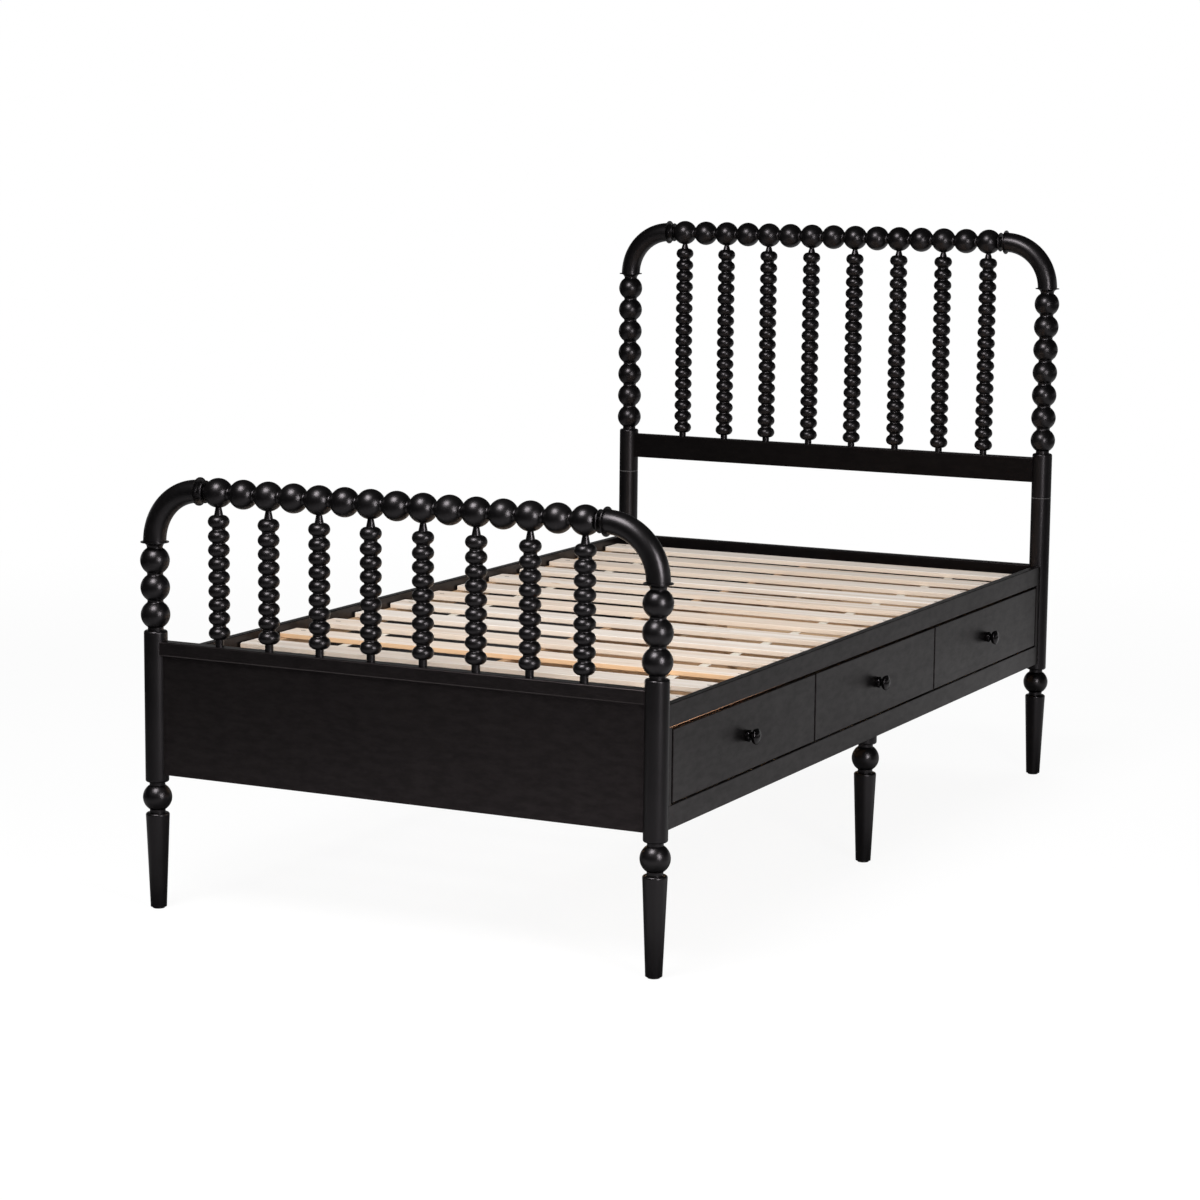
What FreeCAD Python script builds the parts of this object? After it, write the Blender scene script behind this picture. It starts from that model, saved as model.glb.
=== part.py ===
import FreeCAD, Part
import math
import os

# Twin platform bed with turned spool ends and three drawers along one side.
# Millimetres. Z is up, the floor is Z = 0, the foot end is at -Y and the drawers open towards +X.
# The origin is on the floor in the middle of the four corner posts.

# Plan of the corner posts, axis to axis
post_spread = 1020.0
bed_length = 1960.0

# Turned posts and legs
post_dia = 43.5
post_round = 4.0
ball_dia = 54.0
ball_neck_dia = 29.0
post_ball_gap = 4.65  # length of neck between two balls of a post
shoulder_neck = 6.2  # length of neck between a ball and a shoulder
foot_ball_count = 3
head_ball_count = 7
leg_height = 180.8
leg_foot_dia = 30.0
leg_top_dia = 44.0
seam_bevel = 0.8

# Dished collars between the ball strings and the elbows
collar_rim_dia = 52.0
collar_rim_width = 1.6
collar_flare = 8.0
collar_neck = 2.2
elbow_dia = 42.4
elbow_bend_radius = 97.9

# Top rails turned as strings of balls
rail_neck_dia = 24.0
rail_ball_gap = 4.6
rail_ring_dia = 40.0
rail_ring_width = 3.0
rail_ring_crown = 0.8
rail_ring_neck = 2.15

# Beaded spindles
bead_dia = 39.4
bead_arc_radius = 11.6
bead_neck_dia = 23.8
bead_pitch = 25.0
end_bead_step = 27.0
spindle_foot_dia = 15.4
spindle_top_dia = 11.2
spindle_swell_dia = 16.6
spindle_end_neck = 7.5  # shortest plain neck at either end
spindle_tenon = 10.0

# Side frame, from the post shoulder upwards
rail_lift = 15.2
bottom_rail_height = 42.0
drawer_gap_below = 3.0
drawer_front_height = 129.0
drawer_gap_above = 4.5
top_rail_height = 41.0
side_thickness = 16.0
side_outset = 10.0  # outer face beyond the post axis
housing_inset = 12.0  # board ends stop this far short of the post axis
stile_inset = 40.25  # post axis to the edge of the drawer opening
board_round = 1.5

# Foot and head boards
foot_rail_rise = 29.0  # rail top above the side rails
foot_rail_height = 25.0
foot_rail_depth = 28.0
foot_shoulder_rise = 19.1  # post shoulder above the rail top
foot_panel_thickness = 15.0
panel_tongue = 8.0
head_rail_rise = 185.5  # rail underside above the side rails
head_rail_height = 54.0
head_board_thickness = 22.0
head_shoulder_rise = 10.0
head_seam_drop = 33.5  # seam of the head posts below the head rail
rail_round = 3.0

# Slat deck
slat_drop = 13.5  # slat tops below the side rail tops
slat_thickness = 10.5
slat_width = 63.0
slat_pitch = 141.3
slat_end_gap = 4.0
slat_round = 2.0
slat_head_gap = 64.0  # last slat from the head panel
ledge_width = 20.0
ledge_height = 20.0
ledge_end_gap = 3.25
strap_width = 18.0
strap_thickness = 1.2
strap_inset = 152.0  # slat end to the middle of a strap
strap_end = 4.0

# Frame under the deck
centre_board_thickness = 16.0
divider_thickness = 16.0
leg_block_depth = 44.0
leg_block_width = 70.0
leg_block_height = 36.0

# Drawers
drawer_count = 3
drawer_gap = 5.0
drawer_front_thickness = 15.0
drawer_back_gap = 47.0  # drawer back to the centre board
drawer_side_height = 100.0
drawer_side_lift = 7.0  # drawer sides above the lower edge of the front
drawer_side_thickness = 12.0
drawer_bottom_thickness = 5.0
drawer_bottom_lift = 8.0
drawer_groove = 5.0

# Drawer runners: a channel on the divider and a slide member on the drawer
runner_space = 12.7
runner_front_gap = 10.0
runner_back_gap = 40.0  # runner to the drawer's rear end
runner_height = 45.0
runner_lift = 40.0  # runner centre above the drawer side's lower edge
runner_wall = 1.2
runner_flange = 9.0
runner_clearance = 0.4
slide_flange = 9.5

# Knobs
knob_dia = 29.0
knob_base_dia = 20.0
knob_base_width = 8.6
knob_base_crown = 1.0
knob_waist_dia = 12.6
knob_waist_at = 11.2
knob_rim_at = 18.4
knob_rim_width = 2.4
knob_rim_crown = 0.5
knob_projection = 26.0

# Joining hardware
dowel_clearance = 0.1
seam_dowel_dia = 16.0
seam_dowel_length = 60.0
elbow_dowel_dia = 12.0
elbow_dowel_length = 30.0
leg_bolt_dia = 8.0
leg_bolt_length = 50.0
hook_plate_thickness = 2.5
hook_plate_reach = 12.0
hook_plate_margin = 6.5
glide_dia = 22.0
glide_thickness = 3.0
glide_pin_dia = 4.0
glide_pin_length = 12.0

diagonal = math.cos(math.radians(45))
shoulder_share = 0.8  # most of a step that its rounding may take
least_cove = 0.05
touch = 0.01  # distance at which an edge counts as lying on a face

# Plan positions
post_x = post_spread / 2
foot_y = -bed_length / 2
head_y = bed_length / 2
side_outer = post_x + side_outset
side_inner = side_outer - side_thickness
board_end_x = post_x - housing_inset
board_end_y = bed_length / 2 - housing_inset
opening_end = bed_length / 2 - stile_inset

# Turned sizes
post_r = post_dia / 2
ball_r = ball_dia / 2
neck_r = ball_neck_dia / 2
rail_neck_r = rail_neck_dia / 2
ball_reach = math.sqrt(ball_r**2 - neck_r**2)
rail_ball_reach = math.sqrt(ball_r**2 - rail_neck_r**2)
post_ball_pitch = 2 * ball_reach + post_ball_gap
ball_to_shoulder = ball_reach + shoulder_neck
collar_rise = ball_reach + collar_neck + collar_flare + collar_rim_width
shoulder_r = min(post_round, (post_r - neck_r) * shoulder_share)
leg_shoulder_r = min(post_round, (leg_top_dia / 2 - neck_r) * shoulder_share)

# Heights
leg_ball_z = leg_height + ball_to_shoulder
post_bottom = leg_ball_z + ball_to_shoulder
frame_bottom = post_bottom + rail_lift
front_bottom = frame_bottom + bottom_rail_height + drawer_gap_below
front_top = front_bottom + drawer_front_height
top_rail_bottom = front_top + drawer_gap_above
side_top = top_rail_bottom + top_rail_height
slat_top = side_top - slat_drop
slat_bottom = slat_top - slat_thickness
ledge_bottom = slat_bottom - ledge_height
foot_rail_top = side_top + foot_rail_rise
foot_rail_bottom = foot_rail_top - foot_rail_height
foot_shoulder = foot_rail_top + foot_shoulder_rise
head_rail_bottom = side_top + head_rail_rise
head_rail_top = head_rail_bottom + head_rail_height
head_shoulder = head_rail_top + head_shoulder_rise
head_seam = head_rail_bottom - head_seam_drop


def ball_centres(shoulder, count):
    first = shoulder + ball_to_shoulder
    return [first + i * post_ball_pitch for i in range(count)]


foot_balls = ball_centres(foot_shoulder, foot_ball_count)
head_balls = ball_centres(head_shoulder, head_ball_count)
foot_collar_top = foot_balls[-1] + collar_rise
head_collar_top = head_balls[-1] + collar_rise
foot_axis_z = foot_collar_top + elbow_bend_radius
head_axis_z = head_collar_top + elbow_bend_radius

# Ball rail: an odd number of balls at the pitch nearest to the wanted gap, a spindle under every second one
rail_end = rail_ball_reach + 2 * rail_ring_neck + rail_ring_width + collar_flare + collar_rim_width
rail_length = post_spread - 2 * elbow_bend_radius
ball_run = rail_length - 2 * rail_end
wanted_pitch = 2 * rail_ball_reach + rail_ball_gap
rail_ball_count = 2 * round(ball_run / wanted_pitch / 2) + 1
rail_ball_pitch = ball_run / (rail_ball_count - 1)
rail_ball_xs = [i * rail_ball_pitch - ball_run / 2 for i in range(rail_ball_count)]
spindle_xs = rail_ball_xs[::2]

# Drawer bays
drawer_pitch = (2 * opening_end - drawer_gap) / drawer_count
front_length = drawer_pitch - drawer_gap
bay_width = drawer_pitch - divider_thickness
box_width = bay_width - 2 * runner_space
drawer_ys = [(i - (drawer_count - 1) / 2) * drawer_pitch for i in range(drawer_count)]
divider_ys = [(i - drawer_count / 2) * drawer_pitch for i in range(drawer_count + 1)]
front_back = side_outer - drawer_front_thickness
box_back = centre_board_thickness / 2 + drawer_back_gap
box_bottom = front_bottom + drawer_side_lift
runner_z = box_bottom + runner_lift
runner_back = box_back + runner_back_gap
runner_front = front_back - runner_front_gap
knob_z = front_bottom + drawer_front_height / 2

mid_leg_x = side_outer - post_r
slat_end = side_inner - slat_end_gap
strap_bottom = slat_bottom - strap_thickness


def vec(x, y, z):
    return FreeCAD.Vector(x, y, z)


def block(x0, x1, y0, y1, z0, z1):
    return Part.makeBox(x1 - x0, y1 - y0, z1 - z0, vec(x0, y0, z0))


def rod(dia, length, x, y, z, direction=None):
    return Part.makeCylinder(dia / 2, length, vec(x, y, z), direction or vec(0, 0, 1))


def eased(solid, radius, wanted):
    edges = [edge for edge in solid.Edges if wanted(edge)]
    return solid.makeFillet(radius, edges)


def runs_along(edge, axis):
    start, end = [vertex.Point for vertex in edge.Vertexes]
    return abs(abs(getattr(end - start, axis)) - edge.Length) < touch


def group(solids):
    return Part.makeCompound(solids)


class Outline:
    """Half outline of a turned piece, drawn from one end to the other as radius and height."""

    def __init__(self, height):
        self.at = vec(0, 0, height)
        self.start = self.at
        self.edges = []

    def line(self, radius, height):
        end = vec(radius, 0, height)
        if (end - self.at).Length > 1e-6:
            self.edges.append(Part.LineSegment(self.at, end).toShape())
            self.at = end

    def arc(self, mid, end):
        through = vec(mid[0], 0, mid[1])
        stop = vec(end[0], 0, end[1])
        self.edges.append(Part.Arc(self.at, through, stop).toShape())
        self.at = stop

    def shoulder(self, radius, height):
        # Rounded corner, full towards the outside
        inner = min(self.at.x, radius)
        outer_z = self.at.z if self.at.x > radius else height
        inner_z = height if self.at.x > radius else self.at.z
        width = abs(self.at.x - radius)
        mid = (inner + width * diagonal, outer_z + (inner_z - outer_z) * diagonal)
        self.arc(mid, (radius, height))

    def flare(self, radius, height):
        # Hollow dish between a neck and a rim
        outer = max(self.at.x, radius)
        neck_z = self.at.z if self.at.x < radius else height
        rim_z = height if self.at.x < radius else self.at.z
        width = abs(self.at.x - radius)
        mid = (outer - width * diagonal, neck_z + (rim_z - neck_z) * diagonal)
        self.arc(mid, (radius, height))

    def dome(self, height):
        # Round cap that closes the outline on the axis
        rise = height - self.at.z
        cap_r = (self.at.x**2 + rise**2) / (2 * rise)
        lean = math.asin(min(1.0, self.at.x / cap_r)) / 2
        mid = (cap_r * math.sin(lean), height - cap_r + cap_r * math.cos(lean))
        self.arc(mid, (0, height))

    def beads(self, centres, bead_r, arc_r, valley_r, start_r, end_r):
        # A string of round beads whose valleys are hollows tangent to both neighbours
        hub = bead_r - arc_r
        self.line(start_r, centres[0] - math.sqrt(arc_r**2 - (start_r - hub) ** 2))
        for here, after in zip(centres, centres[1:]):
            half = (after - here) / 2
            deep = valley_r - hub
            cove = (deep**2 + half**2 - arc_r**2) / (2 * (arc_r - deep))
            if cove > least_cove:
                share = arc_r / (arc_r + cove)
                leave_r = hub + (deep + cove) * share
                self.arc((bead_r, here), (leave_r, here + half * share))
                self.arc((valley_r, here + half), (leave_r, after - half * share))
            else:
                self.arc((bead_r, here), (hub + math.sqrt(arc_r**2 - half**2), here + half))
        last = centres[-1]
        self.arc((bead_r, last), (end_r, last + math.sqrt(arc_r**2 - (end_r - hub) ** 2)))

    def solid(self):
        self.line(0, self.at.z)
        self.edges.append(Part.LineSegment(self.at, self.start).toShape())
        face = Part.Face(Part.Wire(self.edges))
        return face.revolve(vec(0, 0, 0), vec(0, 0, 1), 360)


def leg_outline():
    outline = Outline(glide_thickness)
    outline.line(leg_foot_dia / 2, glide_thickness)
    outline.line(leg_top_dia / 2, leg_height - leg_shoulder_r)
    outline.shoulder(leg_top_dia / 2 - leg_shoulder_r, leg_height)
    outline.line(neck_r, leg_height)
    outline.beads([leg_ball_z], ball_r, ball_r, neck_r, neck_r, neck_r)
    outline.line(neck_r, post_bottom)
    outline.line(post_r - shoulder_r, post_bottom)
    outline.shoulder(post_r, post_bottom + shoulder_r)
    return outline


def ball_string(outline, shoulder, balls, collar_top):
    outline.line(post_r, shoulder - shoulder_r)
    outline.shoulder(post_r - shoulder_r, shoulder)
    outline.line(neck_r, shoulder)
    outline.beads(balls, ball_r, ball_r, neck_r, neck_r, neck_r)
    outline.line(neck_r, collar_top - collar_rim_width - collar_flare)
    outline.flare(collar_rim_dia / 2, collar_top - collar_rim_width)
    outline.line(collar_rim_dia / 2, collar_top)


def foot_post():
    outline = leg_outline()
    ball_string(outline, foot_shoulder, foot_balls, foot_collar_top)
    return outline.solid()


def head_leg():
    outline = leg_outline()
    outline.line(post_r, head_seam - seam_bevel)
    outline.line(post_r - seam_bevel, head_seam)
    return outline.solid()


def head_post():
    outline = Outline(head_seam)
    outline.line(post_r - seam_bevel, head_seam)
    outline.line(post_r, head_seam + seam_bevel)
    ball_string(outline, head_shoulder, head_balls, head_collar_top)
    return outline.solid()


def mid_leg():
    outline = leg_outline()
    outline.line(post_r, frame_bottom)
    return outline.solid()


def elbow(side, y, collar_top):
    # A quarter bend from the post collar up and over to the rail collar
    centre = vec(side * post_x, y, collar_top)
    disc = Part.Face(Part.Wire(Part.Circle(centre, vec(0, 0, 1), elbow_dia / 2).toShape()))
    hub = vec(side * (post_x - elbow_bend_radius), y, collar_top)
    return disc.revolve(hub, vec(0, -side, 0), 90)


def ball_rail(y, z):
    outline = Outline(-rail_length / 2)
    rim_end = collar_rim_width - rail_length / 2
    dish_end = rim_end + collar_flare
    ring_start = dish_end + rail_ring_neck
    ring_end = ring_start + rail_ring_width
    ring_mid = (ring_start + ring_end) / 2
    ring_r = rail_ring_dia / 2
    outline.line(collar_rim_dia / 2, -rail_length / 2)
    outline.line(collar_rim_dia / 2, rim_end)
    outline.flare(rail_neck_r, dish_end)
    outline.line(rail_neck_r, ring_start)
    outline.line(ring_r, ring_start)
    outline.arc((ring_r + rail_ring_crown, ring_mid), (ring_r, ring_end))
    outline.line(rail_neck_r, ring_end)
    outline.beads(rail_ball_xs, ball_r, ball_r, rail_neck_r, rail_neck_r, rail_neck_r)
    outline.line(rail_neck_r, -ring_end)
    outline.line(ring_r, -ring_end)
    outline.arc((ring_r + rail_ring_crown, -ring_mid), (ring_r, -ring_start))
    outline.line(rail_neck_r, -ring_start)
    outline.line(rail_neck_r, -dish_end)
    outline.flare(collar_rim_dia / 2, -rim_end)
    outline.line(collar_rim_dia / 2, rail_length / 2)
    rail = outline.solid()
    rail.rotate(vec(0, 0, 0), vec(0, 1, 0), 90)
    rail.translate(vec(0, y, z))
    return rail


def bead_heights(bottom, top):
    # As many beads as fit at their pitch, with the spare length shared by the two plain ends
    tip = bead_arc_radius + spindle_end_neck
    spare = top - bottom - 2 * tip - 2 * end_bead_step
    inner = max(1, math.floor(spare / bead_pitch) + 1)
    middle = (bottom + top) / 2
    run = [middle + (i - (inner - 1) / 2) * bead_pitch for i in range(inner)]
    return [run[0] - end_bead_step] + run + [run[-1] + end_bead_step]


def spindle(x, y, bottom, top):
    beads = bead_heights(bottom, top)
    outline = Outline(bottom - spindle_tenon)
    outline.line(spindle_foot_dia / 2, bottom - spindle_tenon)
    swell_r = spindle_swell_dia / 2
    outline.beads(beads, bead_dia / 2, bead_arc_radius, bead_neck_dia / 2, spindle_foot_dia / 2, swell_r)
    outline.line(spindle_top_dia / 2, top)
    outline.line(spindle_top_dia / 2, top + spindle_tenon)
    return outline.solid().translated(vec(x, y, 0))


def spindle_sockets(y, bottom, top):
    lower = [
        rod(spindle_foot_dia + 2 * dowel_clearance, spindle_tenon, x, y, bottom - spindle_tenon)
        for x in spindle_xs
    ]
    upper = [
        rod(spindle_top_dia + 2 * dowel_clearance, ball_r + spindle_tenon, x, y, top - ball_r)
        for x in spindle_xs
    ]
    return lower, upper


def end_board(y, thickness, bottom, top, round_top):
    # A board across the bed, housed in both posts, with its upper long edges rounded
    board = block(-board_end_x, board_end_x, y - thickness / 2, y + thickness / 2, bottom, top)
    if not round_top:
        return board
    return eased(board, round_top, lambda edge: runs_along(edge, "x") and edge.CenterOfMass.z > top - touch)


def side_board(side, bottom, top, round_edges):
    # A board along the bed, housed in both posts, with its outer long edges and its top rounded
    inner, outer = sorted((side * side_inner, side * side_outer))
    board = block(inner, outer, -board_end_y, board_end_y, bottom, top)

    def shows(edge):
        outside = abs(edge.CenterOfMass.x - side * side_outer) < touch
        return runs_along(edge, "y") and (outside or edge.CenterOfMass.z > side_top - touch)

    return eased(board, round_edges, shows)


def end_stile(end):
    near, far = sorted((end * opening_end, end * board_end_y))
    bottom = frame_bottom + bottom_rail_height
    stile = block(side_inner, side_outer, near, far, bottom, top_rail_bottom)
    return eased(
        stile,
        board_round,
        lambda edge: runs_along(edge, "z")
        and abs(edge.CenterOfMass.x - side_outer) < touch
        and abs(edge.CenterOfMass.y - end * opening_end) < touch,
    )


def slats():
    last = head_y - head_board_thickness / 2 - slat_head_gap - slat_width
    count = math.floor((last - foot_y - post_r) / slat_pitch) + 1
    made = []
    for i in range(count):
        y = last - (count - 1 - i) * slat_pitch
        slat = block(-slat_end, slat_end, y, y + slat_width, slat_bottom, slat_top)
        made.append(eased(slat, slat_round, lambda edge: runs_along(edge, "x")))
    return made


def strap(side, deck):
    start = deck[0].BoundBox.YMin + strap_end
    end = deck[-1].BoundBox.YMax - strap_end
    x = side * (slat_end - strap_inset)
    return block(x - strap_width / 2, x + strap_width / 2, start, end, strap_bottom, slat_bottom)


def slat_ledge(side):
    near, far = sorted((side * (side_inner - ledge_width), side * side_inner))
    end = bed_length / 2 - post_r - ledge_end_gap
    return block(near, far, -end, end, ledge_bottom, slat_bottom)


def centre_board():
    half = centre_board_thickness / 2
    start = foot_y + foot_panel_thickness / 2
    end = head_y - head_board_thickness / 2
    return block(-half, half, start, end, frame_bottom, slat_bottom)


def divider(y):
    half = divider_thickness / 2
    start = centre_board_thickness / 2
    return block(start, side_inner, y - half, y + half, frame_bottom, ledge_bottom)


def leg_block():
    half = leg_block_width / 2
    near = side_inner - leg_block_depth
    return block(near, side_inner, -half, half, frame_bottom, frame_bottom + leg_block_height)


def channel(y, side, web, tip, half_height):
    # A rolled C section with its web at one depth and its two flanges reaching to another
    back = web + math.copysign(runner_wall, tip - web)
    face = half_height - runner_wall
    section = [
        (web, -half_height),
        (tip, -half_height),
        (tip, -face),
        (back, -face),
        (back, face),
        (tip, face),
        (tip, half_height),
        (web, half_height),
    ]
    corners = [vec(runner_back, y - side * depth, runner_z + rise) for depth, rise in section]
    face_wire = Part.makePolygon(corners + corners[:1])
    return Part.Face(face_wire).extrude(vec(runner_front - runner_back, 0, 0))


def runner_channel(y, side):
    wall = y + side * bay_width / 2
    return channel(wall, side, 0, runner_flange, runner_height / 2)


def slide_member(y, side):
    wall = y + side * bay_width / 2
    half_height = runner_height / 2 - runner_wall - runner_clearance
    return channel(wall, side, runner_space, runner_space - slide_flange, half_height)


def drawer_front(y):
    half = front_length / 2
    front = block(front_back, side_outer, y - half, y + half, front_bottom, front_top)
    return eased(front, board_round, lambda edge: abs(edge.CenterOfMass.x - side_outer) < touch)


def drawer_bottom(y):
    half = box_width / 2 - drawer_side_thickness + drawer_groove
    base = box_bottom + drawer_bottom_lift
    return block(box_back, front_back, y - half, y + half, base, base + drawer_bottom_thickness)


def drawer_side(y, side, bottom):
    outer = y + side * box_width / 2
    near, far = sorted((outer, outer - side * drawer_side_thickness))
    return block(box_back, front_back, near, far, box_bottom, box_bottom + drawer_side_height).cut(bottom)


def drawer_back(y):
    half = box_width / 2 - drawer_side_thickness
    base = box_bottom + drawer_bottom_lift + drawer_bottom_thickness
    top = box_bottom + drawer_side_height
    return block(box_back, box_back + drawer_side_thickness, y - half, y + half, base, top)


def knob(y):
    rim_r = knob_dia / 2
    outline = Outline(0)
    rim_end = knob_rim_at + knob_rim_width
    bead_mid = (knob_base_dia / 2 + knob_base_crown, knob_base_width / 2)
    rim_mid = (rim_r + knob_rim_crown, (knob_rim_at + rim_end) / 2)
    outline.line(knob_base_dia / 2, 0)
    outline.arc(bead_mid, (knob_base_dia / 2, knob_base_width))
    outline.flare(knob_waist_dia / 2, knob_waist_at)
    outline.shoulder(rim_r, knob_rim_at)
    outline.arc(rim_mid, (rim_r, rim_end))
    outline.dome(knob_projection)
    turned = outline.solid()
    turned.rotate(vec(0, 0, 0), vec(0, 1, 0), 90)
    return turned.translated(vec(side_outer, y, knob_z))


def hook_plate(side, end, bottom, top):
    x = side * (side_outer + side_inner) / 2
    half = hook_plate_thickness / 2
    seat = end * board_end_y
    return block(
        x - half,
        x + half,
        seat - hook_plate_reach,
        seat + hook_plate_reach,
        bottom + hook_plate_margin,
        top - hook_plate_margin,
    )


def glide(x, y):
    disc = rod(glide_dia, glide_thickness, x, y, 0)
    pin = rod(glide_pin_dia, glide_pin_length, x, y, glide_thickness)
    return disc.fuse(pin)


def glide_socket(x, y):
    return rod(glide_pin_dia + 2 * dowel_clearance, glide_pin_length + dowel_clearance, x, y, glide_thickness)


def dowel(dia, length, x, y, z, direction):
    # A dowel centred on a joint, with the socket that takes it
    step = direction * (length / 2)
    start = vec(x, y, z) - step
    pin = rod(dia, length, start.x, start.y, start.z, direction)
    deep = start - direction * dowel_clearance
    socket_length = length + 2 * dowel_clearance
    socket = rod(dia + 2 * dowel_clearance, socket_length, deep.x, deep.y, deep.z, direction)
    return pin, socket


up = vec(0, 0, 1)
across = vec(1, 0, 0)
sides = {"left": -1, "right": 1}
parts = {}

# Boards of the two ends
foot_rail = end_board(foot_y, foot_rail_depth, foot_rail_bottom, foot_rail_top, rail_round)
foot_panel_top = foot_rail_bottom + panel_tongue
parts["foot_panel"] = end_board(foot_y, foot_panel_thickness, frame_bottom, foot_panel_top, 0)
foot_rail = foot_rail.cut(parts["foot_panel"])
head_rail = end_board(head_y, head_board_thickness, head_rail_bottom, head_rail_top, rail_round)
parts["head_panel"] = end_board(head_y, head_board_thickness, frame_bottom, side_top, rail_round)

# Boards of the two sides
parts["side_panel_left"] = side_board(-1, frame_bottom, side_top, board_round)
parts["side_top_rail"] = side_board(1, top_rail_bottom, side_top, board_round)
parts["side_bottom_rail"] = side_board(1, frame_bottom, frame_bottom + bottom_rail_height, board_round)
parts["end_stile_foot"] = end_stile(-1)
parts["end_stile_head"] = end_stile(1)

# Steel plates that hook each side board to its posts
side_spans = [
    ("side_panel_left", -1, frame_bottom, side_top),
    ("side_top_rail", 1, top_rail_bottom, side_top),
    ("side_bottom_rail", 1, frame_bottom, frame_bottom + bottom_rail_height),
]
hook_plates = []
for name, side, bottom, top in side_spans:
    plates = [hook_plate(side, end, bottom, top) for end in (-1, 1)]
    hook_plates += plates
    parts[name] = parts[name].cut(group(plates))
parts["rail_hook_plates"] = group(hook_plates)

# Top rails, spindles and the sockets they stand in
foot_rail_seats, foot_ball_seats = spindle_sockets(foot_y, foot_rail_top, foot_axis_z - ball_r)
head_rail_seats, head_ball_seats = spindle_sockets(head_y, head_rail_top, head_axis_z - ball_r)
foot_ball_rail = ball_rail(foot_y, foot_axis_z)
head_ball_rail = ball_rail(head_y, head_axis_z)
middle = len(spindle_xs) // 2
for side_name, xs in (("left", spindle_xs[:middle]), ("right", spindle_xs[middle:])):
    foot_set = [spindle(x, foot_y, foot_rail_top, foot_axis_z - ball_r) for x in xs]
    head_set = [spindle(x, head_y, head_rail_top, head_axis_z - ball_r) for x in xs]
    parts["foot_spindles_" + side_name] = group(foot_set)
    parts["head_spindles_" + side_name] = group(head_set)
parts["foot_rail"] = foot_rail.cut(group(foot_rail_seats))
parts["head_rail"] = head_rail.cut(group(head_rail_seats))
foot_ball_rail = foot_ball_rail.cut(group(foot_ball_seats))
head_ball_rail = head_ball_rail.cut(group(head_ball_seats))

# Posts and elbows, with the dowels of their joints
dowels = []
rail_end_x = rail_length / 2
for side_name, side in sides.items():
    side_boards = [name for name, board_side, bottom, top in side_spans if board_side == side]
    housed = [parts[name] for name in side_boards] + hook_plates
    foot_housed = housed + [parts["foot_panel"], parts["foot_rail"]]
    head_housed = housed + [parts["head_panel"]]
    if side > 0:
        foot_housed.append(parts["end_stile_foot"])
        head_housed.append(parts["end_stile_head"])

    x = side * post_x
    foot_top_pin, foot_top_socket = dowel(elbow_dowel_dia, elbow_dowel_length, x, foot_y, foot_collar_top, up)
    head_top_pin, head_top_socket = dowel(elbow_dowel_dia, elbow_dowel_length, x, head_y, head_collar_top, up)
    seam_pin, seam_socket = dowel(seam_dowel_dia, seam_dowel_length, x, head_y, head_seam, up)
    rail_x = side * rail_end_x
    foot_rail_pin, foot_rail_socket = dowel(
        elbow_dowel_dia, elbow_dowel_length, rail_x, foot_y, foot_axis_z, across
    )
    head_rail_pin, head_rail_socket = dowel(
        elbow_dowel_dia, elbow_dowel_length, rail_x, head_y, head_axis_z, across
    )
    dowels += [foot_top_pin, head_top_pin, seam_pin, foot_rail_pin, head_rail_pin]

    post = foot_post().translated(vec(x, foot_y, 0))
    post = post.cut(group(foot_housed))
    parts["foot_post_" + side_name] = post.cut(group([foot_top_socket, glide_socket(x, foot_y)]))
    lower = head_leg().translated(vec(x, head_y, 0))
    lower = lower.cut(group(head_housed))
    parts["head_leg_" + side_name] = lower.cut(group([seam_socket, glide_socket(x, head_y)]))
    upper = head_post().translated(vec(x, head_y, 0))
    upper = upper.cut(parts["head_rail"])
    parts["head_post_" + side_name] = upper.cut(group([seam_socket, head_top_socket]))

    foot_bend = elbow(side, foot_y, foot_collar_top)
    head_bend = elbow(side, head_y, head_collar_top)
    parts["foot_elbow_" + side_name] = foot_bend.cut(group([foot_top_socket, foot_rail_socket]))
    parts["head_elbow_" + side_name] = head_bend.cut(group([head_top_socket, head_rail_socket]))
    foot_ball_rail = foot_ball_rail.cut(foot_rail_socket)
    head_ball_rail = head_ball_rail.cut(head_rail_socket)
parts["foot_ball_rail"] = foot_ball_rail
parts["head_ball_rail"] = head_ball_rail
parts["joint_dowels"] = group(dowels)

# Slat deck
deck = slats()
parts["slats"] = group(deck)
for side_name, side in sides.items():
    parts["slat_strap_" + side_name] = strap(side, deck)
    parts["slat_ledge_" + side_name] = slat_ledge(side)

# Frame under the deck and the middle leg
bolt, bolt_socket = dowel(leg_bolt_dia, leg_bolt_length, mid_leg_x, 0, frame_bottom, up)
leg = mid_leg().translated(vec(mid_leg_x, 0, 0))
parts["mid_leg"] = leg.cut(group([bolt_socket, glide_socket(mid_leg_x, 0)]))
parts["leg_block"] = leg_block().cut(bolt_socket)
parts["leg_bolt"] = bolt
parts["centre_board"] = centre_board()
parts["drawer_dividers"] = group([divider(y) for y in divider_ys])
feet = [(x, y) for x in (-post_x, post_x) for y in (foot_y, head_y)]
feet.append((mid_leg_x, 0))
parts["floor_glides"] = group([glide(x, y) for x, y in feet])

# Drawers and their runners
parts["drawer_runners"] = group([runner_channel(y, side) for y in drawer_ys for side in (-1, 1)])
for number, y in enumerate(drawer_ys, 1):
    name = "drawer_" + str(number)
    bottom = drawer_bottom(y)
    parts[name + "_front"] = drawer_front(y)
    parts[name + "_sides"] = group([drawer_side(y, side, bottom) for side in (-1, 1)])
    parts[name + "_back"] = drawer_back(y)
    parts[name + "_bottom"] = bottom
    parts[name + "_slides"] = group([slide_member(y, side) for side in (-1, 1)])
    parts[name + "_knob"] = knob(y)

os.makedirs("parts", exist_ok=True)
for name, shape in parts.items():
    shape.exportStep("parts/" + name + ".step")
print(len(parts), "nodes,", sum(len(shape.Solids) for shape in parts.values()), "solids")
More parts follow.
